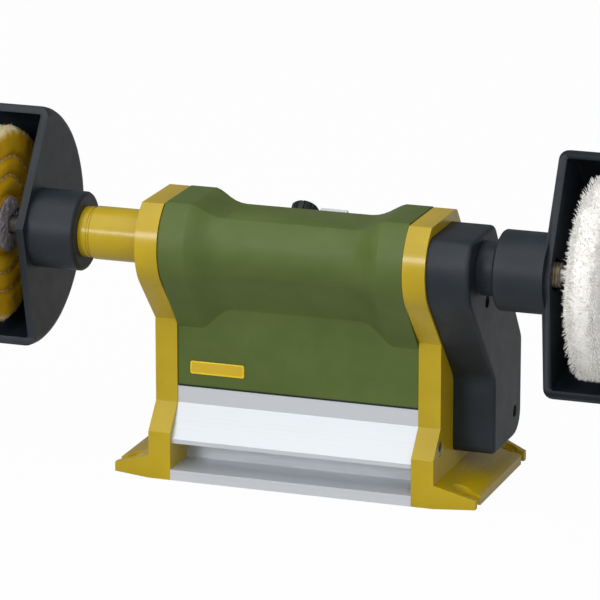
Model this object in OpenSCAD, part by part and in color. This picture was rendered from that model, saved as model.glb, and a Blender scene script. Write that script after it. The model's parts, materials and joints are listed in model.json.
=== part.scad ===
// Bench polishing lathe with two wheels, seen with its front towards -Y.
// X runs along the spindle, Y = 0 is the spindle axis, Z = 0 is the bench.

/* [End castings] */
// Clear width between the two end castings
inner_w = 126; // [116:1:150]
// Thickness of each end casting
pillar_t = 11.5; // [10:0.5:14]
// Height of the spindle axis above the bench
axis_h = 121.5; // [118:0.5:130]
// Radius of the round head about the spindle axis
head_r = 27; // [26:0.5:29]
// Height of the flat top above the spindle axis
top_rise = 22; // [20:0.5:24]
// How far behind the spindle axis the flat top ends
top_back = 24; // [20:1:30]
// Drop from the spindle axis to the throat under the head
throat_drop = 41; // [38:0.5:44]
// Front face of the casting above the base, behind the spindle axis
front_y = 0.5; // [0:0.1:2]
// How far the rear face stands in from the back of the base
rear_in = 8; // [5:0.5:11]
// Height of the shoulder of the rear slope, above the joint of the cover
shoulder_rise = 29.1; // [26:0.5:33]
// How far the base reaches in front of the spindle axis
base_front = 10.5; // [9:0.5:14]
// Depth of the base, front to rear
base_d = 96.5; // [95:0.5:104]
// Height at which the base starts to slope in
knee_low = 24.5; // [23:0.5:27]
// Height at which that slope ends
knee_high = 37.5; // [35:0.5:39]

/* [Feet] */
// How far each foot reaches out from its casting
foot_reach = 20; // [17:0.5:26]
// Height of the foot where it leaves the casting
foot_root_h = 12; // [10:0.5:15]
// Height of the foot at its outer edge
foot_tip_h = 4.8; // [4:0.2:6]
// How far the front and rear edges of a foot draw in
foot_draw = 5; // [3:0.5:8]
// Width of the open slot for a bench screw
slot_w = 5.2; // [4.2:0.2:6.2]
// Length of the slot, inwards from the outer edge
slot_l = 11; // [9:0.5:14]
// Distance between the front and the rear slot
slot_gap = 74.5; // [70:0.5:78]

/* [Base extrusion] */
// Thickness of the base plate
plate_t = 5.5; // [4.5:0.5:7]
// Wall of the extrusion
rail_wall = 2.2; // [1.8:0.1:2.8]
// Depth of the tray channel
tray_d = 23.5; // [20:0.5:26]
// Clear height of the tray channel
tray_h = 13.2; // [11:0.2:14.4]
// Height of the joint between the extrusion and the body cover
seam_h = 46.4; // [44:0.2:50]
// Radius of a screw port
port_r = 3.6; // [3.2:0.1:4]
// Radius of a pillar screw's shank
port_screw_r = 1.9; // [1.5:0.1:2.2]

/* [Body cover] */
// Wall of the body cover
cover_wall = 2.6; // [2:0.1:3.2]
// Width of each full-size collar
collar_w = 13.5; // [10:0.5:16]
// Width of the slope from a collar down to the waist
flare_w = 17; // [12:0.5:20]
// How much slimmer the waist is than the collars
waist_in = 6.2; // [4:0.2:8]
// How much higher the throat sits under the waist
waist_lift = 11.3; // [7:0.1:13]
// How much lower the cover's throat sits than the castings'
throat_extra = 3.5; // [1:0.5:5]
// How far the cover's top stands above the castings
cover_proud = 0.5; // [0.2:0.1:1]
// How far the cover stands back from the castings
cover_inset = 0.7; // [0.4:0.1:1.2]

/* [Spindle] */
// Radius of the two necks that carry the spindle
neck_r = 13.3; // [12.9:0.1:14.5]
// Radius of the stub that carries a wheel guard
stub_r = 12.7; // [12.5:0.05:12.85]
// Length of the left neck
neck_l = 30.5; // [26:0.5:36]
// Length of the right neck, outside the belt cover
boss_l = 8.5; // [6:0.5:12]
// Length of each stub inside a wheel guard
stub_l = 21; // [20:0.5:26]
// How much of the left stub shows between neck and guard
left_show = 4.8; // [2:0.2:6]
// Radius of the shaft in its bearings
shaft_r = 5; // [4.5:0.1:5.4]
// Radius of the shaft between the bearings
shaft_body_r = 6.5; // [6.2:0.1:7.2]
// Radius of the bearing, outside
bearing_r = 11; // [10.4:0.1:11.2]
// Width of the bearing
bearing_w = 6; // [5:0.5:7]
// Number of balls in a bearing
ball_count = 9; // [7:1:10]
// Radius of the tapered spindle at its root
taper_root_r = 4.6; // [4:0.1:4.8]
// Radius of the tapered spindle at its tip
taper_tip_r = 1.6; // [1.2:0.1:2.4]
// Length of the tapered spindle
taper_l = 56; // [48:1:64]
// Radius of the ribbed lock nut
nut_r = 6.2; // [5.8:0.1:7]
// Length of the ribbed lock nut
nut_l = 6.5; // [5:0.5:8]

/* [Belt drive] */
// Depth of the belt cover
belt_cover_d = 21.5; // [20:0.5:28]
// Wall of the belt cover
belt_cover_wall = 2.5; // [2:0.1:3]
// Rounding of the belt cover's outer edge
belt_cover_edge = 2.2; // [1.5:0.1:2.4]
// How much smaller the belt cover's head is than the castings'
belt_head_in = 1.4; // [1:0.1:2]
// How much lower the belt cover's flat top is than the castings'
belt_top_drop = 4.6; // [3:0.2:6]
// How far behind the spindle axis the belt cover's flat top ends
belt_top_back = 19; // [17:0.5:20]
// Reach of the belt cover in front of the motor axis
lobe_front = 22.5; // [20:0.5:24]
// Reach of the belt cover behind the motor axis
lobe_back = 23.5; // [21:0.5:26]
// Reach of the belt cover below the motor axis
lobe_low = 30; // [27:0.5:34]
// Height of the belt cover's rear corner above the motor axis
lobe_high = 20; // [16:0.5:24]
// Height of the belt cover's front corner above the motor axis
lobe_neck = 9; // [6:0.5:14]
// Radius of the pulley on the spindle
driven_r = 13; // [11.5:0.5:13.5]
// Radius of the pulley on the motor
driver_r = 6.5; // [5.5:0.5:8]
// Width of the belt
belt_w = 9; // [7:0.5:10]
// Thickness of the belt over its ribs
belt_t = 2; // [1.6:0.1:2.4]
// Number of ribs round the belt
belt_ribs = 4; // [3:1:5]

/* [Motor] */
// Height of the motor axis above the bench
motor_z = 50; // [48:0.5:54]
// How far the motor sits behind the middle of the housing
motor_shift = 3.8; // [2:0.2:5]
// Space in front of and behind the motor, at the middle of the housing
motor_room = 9.8; // [9:0.2:13]
// Length of the motor can
can_l = 72; // [60:1:76]
// Wall of the motor can
can_wall = 1.6; // [1.2:0.1:2]
// Gap between the armature and the poles
pole_gap = 0.8; // [0.5:0.1:1.2]
// Radius of the motor shaft
rotor_r = 3; // [2.5:0.1:3.5]
// Length of the drive end cap
drive_cap_l = 13; // [11:0.5:16]
// Length of the rear end cap
rear_cap_l = 12; // [10:0.5:14]
// Number of blades on the fan
fan_blades = 9; // [7:1:11]

/* [Wheel guards] */
// Room between the larger wheel and the guard round it
guard_room = 7.4; // [5:0.2:12]
// Width of a guard along the spindle
guard_w = 88; // [80:1:96]
// Wall of a guard
guard_wall = 2.6; // [2:0.1:3.2]
// How far the left guard's side panels reach in front of the spindle axis
left_peak = 24.5; // [14:0.5:30]
// How far the right guard's side panels reach in front of the spindle axis
right_peak = 16.5; // [14:0.5:30]
// Rounding of the guard's outer edges
guard_edge = 5; // [3.5:0.5:7]
// Backward tilt of the opening
guard_tilt = 11; // [0:1:25]
// Radius of the hub
hub_r = 19.8; // [17.5:0.1:21]
// Width of the thick rim round the opening
rim_w = 4; // [3:0.2:5]

/* [Polishing wheels] */
// Radius of the stitched cotton wheel
cotton_r = 49; // [40:0.5:50]
// Thickness of the stitched cotton wheel
cotton_t = 17; // [12:0.5:20]
// Radius of the wool wheel
wool_r = 50; // [40:0.5:51]
// Thickness of the wool wheel
wool_t = 22; // [16:0.5:26]
// Radius of the leather discs
leather_r = 13.5; // [11:0.5:16]
// Thickness of a leather disc
leather_t = 1.5; // [1:0.1:2]
// Distance from a guard's side panel to its wheel
wheel_gap = 17; // [15:0.5:22]

/* [Controls] */
// Radius of the speed knob
knob_r = 7; // [6:0.5:8.5]
// Height of the speed knob
knob_h = 12; // [9:0.5:14]
// Number of flutes round the knob
knob_flutes = 12; // [8:1:16]
// Distance of the knob from the middle, to the left
knob_x = 9.5; // [9:0.5:14]
// Distance of the knob down the rear slope
knob_s = 18.2; // [15:0.2:22]
// Distance of the rocker switch from the middle, to the right
switch_x = 11.6; // [9:0.2:14]
// Distance of the rocker switch down the rear slope
switch_s = 12; // [11.5:0.5:16]
// Width of the switch frame
switch_w = 14; // [12:0.5:15]
// Length of the switch frame
switch_len = 20; // [18:0.5:22]
// Tilt of the rocker to either side
rocker_tilt = 8; // [6:1:10]

/* [Hidden] */

$fn = 64;
arc_steps = 20;
corner_steps = 6;

// Overrun of every cut, the gap of pieces that slip over each other,
// the running gap of what turns, and the joint between two mouldings
overrun = 1;
slip = 0.03;
running = 0.05;
joint_gap = 0.3;
seam_gap = 0.4;

casting_col = [0.72, 0.63, 0.14];
cover_col = [0.36, 0.42, 0.22];
black_col = [0.18, 0.20, 0.22];
alu_col = [0.82, 0.83, 0.85];
steel_col = [0.62, 0.62, 0.64];
brass_col = [0.78, 0.62, 0.28];
rubber_col = [0.08, 0.08, 0.09];
board_col = [0.10, 0.35, 0.18];
leather_col = [0.55, 0.52, 0.55];

half_w = inner_w / 2;
out_x = half_w + pillar_t;
base_back = base_d - base_front;
base_mid = base_d / 2 - base_front;
rear_y = base_back - rear_in;
throat_z = axis_h - throat_drop;
shoulder_z = seam_h + shoulder_rise;
house_front = front_y + cover_inset + rail_wall;
house_back = rear_y - cover_inset - rail_wall;
motor_back = (house_front + house_back) / 2 + motor_shift;
motor_drop = axis_h - motor_z;
motor_r = (house_back - house_front) / 2 - motor_room;
can_in = motor_r - can_wall;
armature_r = 0.607 * can_in;
guard_r = max(cotton_r, wool_r) + guard_room + guard_wall;
top_soft_r = 0.2 * head_r;
shoulder_soft_r = 0.5 * head_r;

// Stations along the spindle, from the castings outwards
ring_t = 1.2;
seat_lip = 0.8;
seat_l = bearing_w + ring_t + seat_lip;
stub_slack = 3.9;
hub_gap = 0.5;
shaft_stick = 2.5;
hub_l = stub_l + stub_slack - hub_gap;
left_neck_x = -out_x - neck_l;
left_stub_x = left_neck_x - stub_l - left_show;
belt_face_x = out_x + belt_cover_d;
right_neck_x = belt_face_x + boss_l;
right_stub_x = right_neck_x + stub_l;
left_panel_x = left_stub_x - stub_slack;
right_panel_x = right_stub_x + stub_slack;
left_end_x = left_stub_x - shaft_stick;
right_end_x = right_stub_x + shaft_stick;

function unit(v) = v / norm(v);

function arc(c, r, a0, a1, n) =
    [for (i = [0:n]) let (a = a0 + (a1 - a0) * i / n) c + r * [cos(a), sin(a)]];

// Corner b of the outline a, b, c, rounded with radius r
function corner(a, b, c, r, n) =
    let (u = unit(a - b), v = unit(c - b), half = acos(u * v) / 2,
         m = b + unit(u + v) * r / sin(half),
         s = b + u * r / tan(half) - m, e = b + v * r / tan(half) - m,
         a0 = atan2(s[1], s[0]), sweep = sign(cross(s, e)) * acos(s * e / (r * r)))
    arc(m, r, a0, a0 + sweep, n);

// Outline from points [y, z, corner radius]
function soft_poly(p, n = corner_steps) = [for (i = [0:len(p) - 1])
    let (a = p[(i + len(p) - 1) % len(p)], b = p[i], c = p[(i + 1) % len(p)])
    each b[2] == 0 ? [[b[0], b[1]]]
        : corner([a[0], a[1]], [b[0], b[1]], [c[0], c[1]], b[2], n)];

// The same counter-clockwise outline, drawn in by d
function inset(p, d) = [for (i = [0:len(p) - 1])
    let (a = p[(i + len(p) - 1) % len(p)], b = p[i], c = p[(i + 1) % len(p)],
         u = unit(b - a), v = unit(c - b), nu = [-u[1], u[0]], nv = [-v[1], v[0]])
    b + d * (nu + nv) / (1 + nu * nv)];

// Front of a head, from its flat top round to the line down to the throat
function head_front(r, rise, throat) =
    let (c = [0, axis_h], d = throat - c,
         a1 = atan2(d[1], d[0]) - acos(r / norm(d)) + 360)
    arc(c, r, 180 - asin(rise / r), a1, arc_steps);

// Side outline above its base points, which run from the front to the rear
function side_outline(r, rise, back, throat, rear, base) =
    let (foot = base[len(base) - 1])
    concat([for (i = [0:len(base) - 2]) base[i]],
        soft_poly([[foot[0], foot[1], 0], [rear, shoulder_z, shoulder_soft_r],
            [back, axis_h + rise, top_soft_r], [0, axis_h + rise, 0]]),
        head_front(r, rise, throat), [throat]);

module along_x(x0, x1) {
    translate([x0, 0, 0]) rotate([90, 0, 90]) linear_extrude(x1 - x0) children();
}

module rod_x(x0, x1, r, y = 0, z = axis_h) {
    translate([x0, y, z]) rotate([0, 90, 0]) cylinder(h = x1 - x0, r = r);
}

module tube_x(x0, x1, r, bore, y = 0, z = axis_h) {
    difference() {
        rod_x(x0, x1, r, y, z);
        rod_x(x0 - overrun, x1 + overrun, bore, y, z);
    }
}

// A turned piece about the X direction, from points [radius, x]
module turned_x(points, x = 0, y = 0, z = axis_h) {
    translate([x, y, z]) rotate([0, 90, 0]) rotate_extrude() polygon(points);
}

// A screw along X at [y, z]: its head sits on the face at x, its shank goes in by l
head_r_share = 1.9;
head_h_share = 1.2;

module screw_x(x, side, l, r, at) {
    translate([x + side * slip, at[0], at[1]]) rotate([0, side * 90, 0]) difference() {
        union() {
            translate([0, 0, -l]) cylinder(h = l, r = r);
            cylinder(h = head_h_share * r, r = head_r_share * r);
        }
        translate([0, 0, r / 2]) cylinder(h = head_h_share * r, r = 0.9 * r, $fn = 6);
    }
}

// Skin through rings of points that run the same way round, towards the next ring
module skin(rings, closed = false) {
    n = len(rings[0]);
    m = len(rings);
    caps = closed ? [] : [[for (k = [0:n - 1]) k],
        [for (k = [n - 1:-1:0]) (m - 1) * n + k]];
    walls = [for (i = [0:closed ? m - 1 : m - 2], k = [0:n - 1])
        let (a = i * n + k, b = i * n + (k + 1) % n,
             c = (i + 1) % m * n + (k + 1) % n, d = (i + 1) % m * n + k)
        each [[a, d, c], [a, c, b]]];
    polyhedron(points = [for (r = rings) each r], faces = concat(caps, walls),
        convexity = 8);
}

// End castings with their feet and the left neck

neck_soft = 0.8;
neck_relief = 1.2;

port_hole_r = port_screw_r + running;
port_low_z = foot_root_h + 1.3 * port_r;
port_sink = 2.6;
port_rise = 0.4;
port_in = rail_wall + 0.8 * port_r;
nose = [rail_wall - base_front, plate_t + tray_h + rail_wall];
front_band = [front_y + cover_inset, knee_high];
back_band = [rear_y - cover_inset, knee_high];
back_knee = [base_back, knee_low - rail_wall / 3];
port_spots = [nose + port_rise * (front_band - nose) + [port_in, 0],
    back_knee + port_rise * (back_band - back_knee) - [port_in, 0],
    [base_back - rail_wall / 2 - port_r, port_low_z]];
port_bite = 12;
passage_gap = 1.5;
passage_r = shaft_body_r + passage_gap;

standoff_l = 6;
standoff_r = 3;
board_screw_r = 1.4;
board_t = 1.6;
board_edge = 4;
board_gap = 3.5;
board_low = [tray_d - base_front + rail_wall + 2 * board_gap, plate_t + 2 * board_gap];
board_high = [house_back - 2 * board_gap, shoulder_z - board_gap];
board_spots = [for (y = [board_low[0] + board_edge, board_high[0] - board_edge],
    z = [board_low[1] + board_edge, board_high[1] - board_edge]) [y, z]];

motor_screw_r = 1.6;
motor_screw_bite = 7;
motor_spots = [for (s = [-1, 1]) [motor_back + s * 0.615 * motor_r, motor_z]];

belt_screw_r = 1.5;
belt_screw_bite = 8;
belt_spots = [[0.46 * driven_r, axis_h - 1.42 * driven_r],
    [motor_back + lobe_back / 2, motor_z - lobe_low / 2 - belt_screw_r]];

module pillar_plate(x0) {
    base = [[front_y, knee_high], [-base_front, knee_low], [-base_front, 0],
        [base_back, 0], [base_back, knee_low], [rear_y, knee_high]];
    along_x(x0, x0 + pillar_t) polygon(side_outline(head_r, top_rise, top_back,
        [front_y, throat_z], rear_y, base));
}

module foot(side) {
    tip_x = out_x + foot_reach;
    root_x = out_x - pillar_t / 2;
    slot_r = slot_w / 2;
    seat_rise = foot_tip_h / 7;
    difference() {
        intersection() {
            linear_extrude(foot_root_h) polygon([[side * root_x, -base_front],
                [side * out_x, -base_front], [side * tip_x, foot_draw - base_front],
                [side * tip_x, base_back - foot_draw], [side * out_x, base_back],
                [side * root_x, base_back]]);
            translate([0, base_back + overrun, 0]) rotate([90, 0, 0])
                linear_extrude(base_d + 2 * overrun)
                polygon([[side * root_x, 0], [side * tip_x, 0], [side * tip_x, foot_tip_h],
                    [side * out_x, foot_root_h], [side * root_x, foot_root_h]]);
        }
        // Each slot is open to the outer edge and has a round seat for the screw's washer
        for (y = [-slot_gap / 2, slot_gap / 2])
            translate([side * (tip_x - slot_l + slot_r), base_mid + y, 0]) {
                translate([0, 0, -overrun])
                    cylinder(h = foot_root_h + 2 * overrun, r = slot_r);
                translate([side > 0 ? 0 : -slot_l, -slot_r, -overrun])
                    cube([slot_l, slot_w, foot_root_h + 2 * overrun]);
                translate([0, 0, foot_tip_h + seat_rise])
                    cylinder(h = foot_root_h, r = slot_w);
            }
    }
}

module port_holes(side) {
    for (p = port_spots) mirror([side > 0 ? 0 : 1, 0, 0]) {
        rod_x(half_w - overrun, out_x + overrun, port_hole_r, p[0], p[1]);
        rod_x(out_x - port_sink, out_x + overrun,
            head_r_share * port_screw_r + joint_gap, p[0], p[1]);
    }
}

module left_pillar() {
    color(casting_col) difference() {
        union() {
            pillar_plate(-out_x);
            foot(-1);
            turned_x([[0, -out_x + overrun], [0, left_stub_x], [stub_r, left_stub_x],
                [stub_r, left_neck_x - neck_relief], [stub_r - neck_soft / 2, left_neck_x
                - neck_relief], [stub_r - neck_soft / 2, left_neck_x],
                [neck_r - neck_soft, left_neck_x], [neck_r, left_neck_x + neck_soft],
                [neck_r, -out_x + overrun]]);
            for (p = board_spots)
                rod_x(-half_w - overrun, -half_w + standoff_l, standoff_r, p[0], p[1]);
        }
        rod_x(left_stub_x - overrun, -half_w + overrun, passage_r);
        rod_x(left_stub_x - overrun, left_stub_x + seat_l, bearing_r + slip);
        port_holes(-1);
        for (p = board_spots) rod_x(-half_w - pillar_t / 2, -half_w + standoff_l + overrun,
            board_screw_r + running, p[0], p[1]);
    }
}

module right_pillar() {
    color(casting_col) difference() {
        union() {
            pillar_plate(half_w);
            foot(1);
        }
        rod_x(half_w - overrun, out_x + overrun, passage_r);
        rod_x(half_w - overrun, out_x + overrun, rotor_r + passage_gap, motor_back, motor_z);
        port_holes(1);
        for (p = motor_spots) rod_x(half_w - overrun, out_x + overrun,
            motor_screw_r + running, p[0], p[1]);
        for (p = belt_spots) rod_x(out_x - belt_screw_bite - overrun, out_x + overrun,
            belt_screw_r + running, p[0], p[1]);
    }
}

module left_pillar_screws() {
    color(steel_col) for (p = port_spots)
        screw_x(port_sink - out_x, -1, pillar_t - port_sink + port_bite, port_screw_r, p);
}

module right_pillar_screws() {
    color(steel_col) for (p = port_spots)
        screw_x(out_x - port_sink, 1, pillar_t - port_sink + port_bite, port_screw_r, p);
}

// Base extrusion with the tray channel along its front

module rail() {
    along_x(-half_w, half_w) children();
}

module tray_extrusion() {
    roof_z = plate_t + tray_h;
    wall_y = tray_d - base_front;
    lean = rail_wall / 3;
    color(alu_col) difference() {
        union() {
            rail() translate([-base_front, 0]) square([base_d, plate_t]);
            rail() translate([wall_y, 0]) square([rail_wall, nose[1]]);
            rail() translate([nose[0], roof_z])
                square([wall_y - nose[0] + rail_wall, rail_wall]);
            rail() polygon([[nose[0], roof_z], nose, front_band, [front_band[0], seam_h],
                [front_band[0] + rail_wall, seam_h],
                [front_band[0] + rail_wall, knee_high - lean],
                [nose[0] + rail_wall + lean, roof_z]]);
            rail() polygon([[base_back, 0], back_knee, back_band, [back_band[0], seam_h],
                [back_band[0] - rail_wall, seam_h],
                [back_band[0] - rail_wall, knee_high - lean],
                [base_back - rail_wall, back_knee[1] - lean], [base_back - rail_wall, 0]]);
            for (p = port_spots) rod_x(-half_w, half_w, port_r, p[0], p[1]);
        }
        for (p = port_spots)
            rod_x(-half_w - overrun, half_w + overrun, port_hole_r, p[0], p[1]);
    }
}

// Body cover: one moulding, full size at both ends and drawn in between

cover_end = half_w - joint_gap;
cover_back = rear_y - cover_inset;
cover_low = seam_h + seam_gap;
// Shares of the flare's width and of the waist's depth, crisp at the collar
flare_shares = [[0, 0], [0.14, 0.13], [0.3, 0.36], [0.47, 0.62], [0.63, 0.81],
    [0.8, 0.94], [1, 1]];
cover_stations = concat([[-cover_end, 0]],
    [for (f = flare_shares) [-half_w + collar_w + f[0] * flare_w, f[1]]],
    [for (i = [len(flare_shares) - 1:-1:0]) let (f = flare_shares[i])
        [half_w - collar_w - f[0] * flare_w, f[1]]], [[cover_end, 0]]);

function cover_outline(slim, lift) =
    let (f = front_y + cover_inset)
    side_outline(head_r - cover_inset - slim, top_rise + cover_proud - slim,
        top_back - cover_inset - slim / 2, [f, throat_z - throat_extra + lift], cover_back,
        [[f, cover_low], [cover_back, cover_low]]);

// Ring of points at a station [x, waist share], or the inner face at depth d
function cover_ring(station, d) =
    let (p = cover_outline(station[1] * waist_in, station[1] * waist_lift),
         q = d == 0 ? p : inset(p, d), n = len(q))
    [for (k = [0:n - 1]) [station[0], q[k][0], d > 0 && (k == 0 || k == 1)
        ? seam_h - overrun : q[k][1]]];

// Rear slope of the waist, which carries the two controls
slope_top = [top_back - cover_inset - waist_in / 2,
    axis_h + top_rise + cover_proud - waist_in];
slope_dir = unit([cover_back, shoulder_z] - slope_top);
slope_a = atan2(slope_dir[1], slope_dir[0]);

module on_slope(x, s) {
    p = slope_top + s * slope_dir;
    translate([x, p[0], p[1]]) rotate([slope_a, 0, 0]) children();
}

bush_r = 3.5;
knob_shaft_r = 3;
switch_body_w = switch_w - rail_wall;
switch_body_len = switch_len - rail_wall;
gland_x = -0.32 * inner_w;
gland_r = 6;
gland_z = seam_h + 2 * gland_r;
gland_bore_r = 3.4;
vent_count = 6;
vent_w = 3;
vent_h = 16;
vent_pitch = 8;
vent_z = gland_z + vent_w;

module body_cover() {
    last = len(cover_stations) - 1;
    through = 4 * cover_wall;
    color(cover_col) difference() {
        skin([for (s = cover_stations) cover_ring(s, 0)]);
        skin([for (i = [0:last]) let (s = cover_stations[i], e = i == 0 ? -overrun
            : i == last ? overrun : 0) cover_ring([s[0] + e, s[1]], cover_wall)]);
        on_slope(-knob_x, knob_s)
            cylinder(h = through, r = bush_r + joint_gap, center = true, $fn = 32);
        on_slope(switch_x, switch_s) cube([switch_body_w + 2 * joint_gap,
            switch_body_len + 2 * joint_gap, through], center = true);
        translate([gland_x, cover_back, gland_z]) rotate([90, 0, 0])
            cylinder(h = through, r = gland_r + joint_gap, center = true, $fn = 32);
        for (i = [0:vent_count - 1])
            translate([(i + 0.5) * vent_pitch, cover_back, vent_z])
                cube([vent_w, through, vent_h], center = true);
    }
}

// Belt cover with the right neck and the outer bearing seat

lobe_r = 8;
belt_head_r = head_r - belt_head_in;
belt_head_rise = top_rise - belt_top_drop;
recess_r = 2 * belt_screw_r;
recess_d = 3;

// Head, its rounded front corner, the straight front and the lobe round the motor pulley
function belt_cover_outline() =
    let (c = [0, axis_h], r = belt_head_r, top_z = axis_h + belt_head_rise,
         neck = [motor_back - lobe_front, motor_z + lobe_neck], d = neck - c,
         up = belt_head_rise - lobe_r, mid = -sqrt(pow(r - lobe_r, 2) - up * up),
         a0 = atan2(up, mid), a1 = atan2(d[1], d[0]) - acos(r / norm(d)) + 360,
         e = c + r * [cos(a1), sin(a1)])
    concat(
        soft_poly([[e[0], e[1], 0], [neck[0], neck[1], 1.5 * lobe_r],
            [neck[0], motor_z - lobe_low, lobe_r / 2],
            [motor_back + lobe_back, motor_z - lobe_low, 1.5 * lobe_r],
            [motor_back + lobe_back, motor_z + lobe_high, lobe_r],
            [belt_top_back, top_z, lobe_r], [mid, top_z, 0]]),
        [for (i = [1:5]) arc([mid, axis_h + up], lobe_r, 90, a0, 5)[i]],
        [for (i = [1:arc_steps - 1]) arc(c, r, a0, a1, arc_steps)[i]]);

function belt_cover_ring(x, d) =
    [for (p = inset(belt_cover_outline(), d)) [x, p[0], p[1]]];

module belt_cover() {
    edge_steps = 3;
    web_x = belt_face_x - belt_cover_wall;
    color(black_col) difference() {
        union() {
            difference() {
                skin(concat([belt_cover_ring(out_x, 0)],
                    [for (i = [0:edge_steps]) let (a = 90 * i / edge_steps)
                        belt_cover_ring(belt_face_x - belt_cover_edge * (1 - sin(a)),
                            belt_cover_edge * (1 - cos(a)))]));
                along_x(out_x - overrun, web_x)
                    polygon(inset(belt_cover_outline(), belt_cover_wall));
            }
            turned_x([[0, web_x], [neck_r, web_x], [neck_r, right_neck_x],
                [stub_r, right_neck_x], [stub_r, right_stub_x], [0, right_stub_x]]);
            for (p = belt_spots) rod_x(out_x, belt_face_x - belt_cover_edge,
                recess_r + recess_d / 2, p[0], p[1]);
        }
        rod_x(web_x - overrun, right_stub_x + overrun, passage_r);
        rod_x(right_stub_x - seat_l, right_stub_x + overrun, bearing_r + slip);
        for (p = belt_spots) {
            rod_x(out_x - overrun, belt_face_x + overrun, belt_screw_r + running, p[0], p[1]);
            rod_x(belt_face_x - recess_d, belt_face_x + overrun, recess_r, p[0], p[1]);
        }
    }
}

module belt_cover_screws() {
    color(steel_col) for (p = belt_spots) screw_x(belt_face_x - recess_d, 1,
        belt_cover_d - recess_d + belt_screw_bite, belt_screw_r, p);
}

// Spindle, its bearings and what is fixed to it

ball_pitch_r = (shaft_r + bearing_r) / 2;
ball_r = 0.23 * (bearing_r - shaft_r);
left_bearing_x = left_stub_x + seat_lip + ring_t;
right_bearing_x = right_stub_x - seat_l;

module race(x, r0, r1) {
    translate([x, 0, axis_h]) rotate([0, 90, 0]) rotate_extrude() difference() {
        translate([r0, 0]) square([r1 - r0, bearing_w]);
        translate([ball_pitch_r, bearing_w / 2]) circle(ball_r + running);
    }
}

module outer_ring(x) {
    color(steel_col) race(x, ball_pitch_r + 0.7 * ball_r, bearing_r);
}

module inner_ring(x) {
    color(steel_col) race(x, shaft_r + slip, ball_pitch_r - 0.7 * ball_r);
}

module balls(x) {
    color(steel_col) for (i = [0:ball_count - 1])
        translate([x + bearing_w / 2, 0, axis_h]) rotate([i * 360 / ball_count, 0, 0])
            translate([0, 0, ball_pitch_r]) sphere(r = ball_r, $fn = 16);
}

module retaining_ring(x) {
    color(steel_col) tube_x(x, x + ring_t, bearing_r, ball_pitch_r + ball_r);
}

pulley_rim = 1.5;
pulley_w = belt_w + 2 * pulley_rim;
pulley_x = out_x + (belt_cover_d - belt_cover_wall - pulley_w) / 2;
groove_d = belt_t / 2;
groove_pitch = belt_w / belt_ribs;
pulley_step = 0.5;
pulley_seat_r = shaft_body_r - pulley_step;

// Grooved pulley from x outwards, with a bore
module grooved_pulley(r, bore, y, z) {
    turned_x(concat([[bore, 0], [r, 0]],
        [for (i = [0:belt_ribs - 1]) each [[r, pulley_rim + i * groove_pitch],
            [r - groove_d, pulley_rim + (i + 0.5) * groove_pitch]]],
        [[r, pulley_w - pulley_rim], [r, pulley_w], [bore, pulley_w]]), pulley_x, y, z);
}

module spindle_pulley() {
    color(alu_col) grooved_pulley(driven_r, pulley_seat_r + slip, 0, axis_h);
}

module motor_pulley() {
    color(alu_col) grooved_pulley(driver_r, rotor_r + slip, motor_back, motor_z);
}

// Belt: its ribbed section carried round both pulleys in one closed loop
module drive_belt() {
    d = [motor_back, -motor_drop];
    dir = atan2(d[1], d[0]);
    spread = acos((driven_r - driver_r) / norm(d));
    lift = 2 * running;
    x0 = pulley_x + pulley_rim;
    section = concat([[x0 + belt_w, belt_t - groove_d], [x0, belt_t - groove_d]],
        [for (i = [0:belt_ribs - 1]) each [[x0 + i * groove_pitch, lift],
            [x0 + (i + 0.5) * groove_pitch, lift - groove_d]]], [[x0 + belt_w, lift]]);
    stations = concat(
        [for (i = [0:24]) [[0, axis_h], driven_r,
            dir + spread + (360 - 2 * spread) * i / 24]],
        [for (i = [0:12]) [[motor_back, motor_z], driver_r,
            dir - spread + 360 + 2 * spread * i / 12]]);
    color(rubber_col) skin([for (s = stations) [for (q = section)
        let (p = s[0] + (s[1] + q[1]) * [cos(s[2]), sin(s[2])]) [q[0], p[0], p[1]]]],
        closed = true);
}

module spindle_shaft() {
    color(steel_col) turned_x([[0, left_end_x], [shaft_r, left_end_x],
        [shaft_r, left_stub_x + seat_l], [shaft_body_r, left_stub_x + seat_l],
        [shaft_body_r, pulley_x], [pulley_seat_r, pulley_x],
        [pulley_seat_r, right_bearing_x], [shaft_r, right_bearing_x],
        [shaft_r, right_end_x], [0, right_end_x]]);
}

// Everything outboard of a shaft end is drawn along +X from that end and mirrored
module outboard(side) {
    translate([side > 0 ? right_end_x : left_end_x, 0, axis_h])
        mirror([side > 0 ? 0 : 1, 0, 0]) rotate([0, 90, 0]) children();
}

root_share = 0.42;
root_l = root_share * (wheel_gap - stub_slack + shaft_stick);
wheel_at = wheel_gap + stub_slack - shaft_stick;

function taper_at(s) =
    taper_root_r - (taper_root_r - taper_tip_r) * max(0, s - root_l) / taper_l;

module taper_spindle(side) {
    color(steel_col) outboard(side) rotate_extrude() polygon([[0, 0],
        [taper_root_r, 0], [taper_root_r, root_l], [taper_tip_r, root_l + taper_l],
        [0, root_l + taper_l + taper_tip_r / 2]]);
}

// Lock nut with turned ribs round it
module lock_nut(side) {
    ribs = 4;
    start = shaft_stick / 3;
    pitch = nut_l / ribs;
    rib_d = 0.1 * nut_r;
    color(steel_col) outboard(side) rotate_extrude() polygon(concat(
        [[taper_root_r + slip, start]],
        [for (i = [0:ribs - 1]) each [[nut_r - rib_d, start + i * pitch],
            [nut_r, start + (i + 0.3) * pitch], [nut_r, start + (i + 0.7) * pitch]]],
        [[nut_r - rib_d, start + nut_l], [taper_root_r + slip, start + nut_l]]));
}

function wheel_bore(s) = taper_at(s) + slip;

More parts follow.
